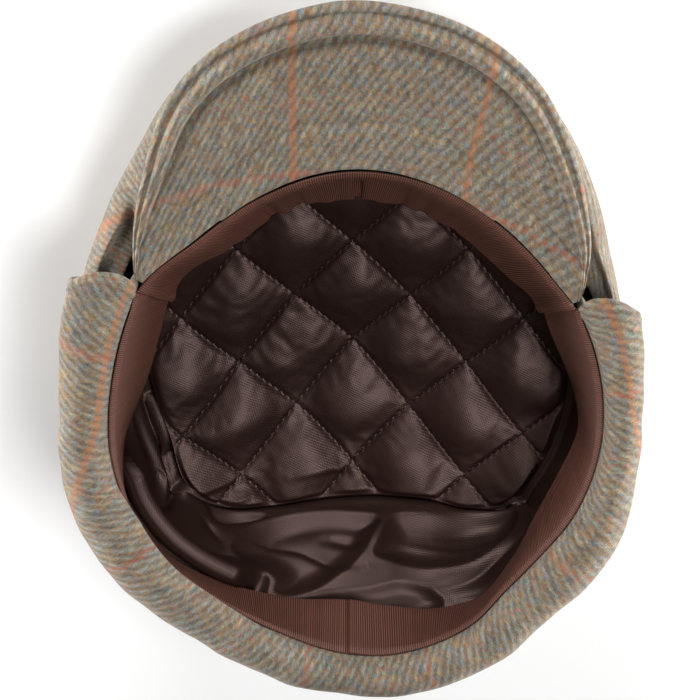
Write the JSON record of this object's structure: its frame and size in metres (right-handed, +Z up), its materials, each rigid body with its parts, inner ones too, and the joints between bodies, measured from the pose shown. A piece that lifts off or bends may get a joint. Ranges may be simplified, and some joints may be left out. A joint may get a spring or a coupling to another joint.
{
  "type": "flat cap",
  "caption": "Soft cloth flat cap with a stiff peak and a turned-up ear flap, lined with quilted satin, lying upside down on its crown.",
  "frame": {"origin": "centre of the footprint at the surface that the crown rests on", "axes": "+Z up, out of the head opening; -Y towards the peak; +X across the cap"},
  "size_m": [0.2134, 0.2584, 0.1048],
  "materials": {
    "tweed": "matt woollen twill in mixed grey-brown, with a thin orange overcheck",
    "grosgrain": "brown ribbed ribbon with a soft sheen",
    "satin": "smooth dark brown satin, softly glossy",
    "quilted_satin": "dark brown satin quilted in diamonds, softly glossy"
  },
  "bodies": {
    "root": {"crown": "tweed", "peak": "tweed", "ear_flap": "tweed", "sweatband": "grosgrain", "lining_side": "satin", "lining_top": "quilted_satin"}
  },
  "joints": []
}
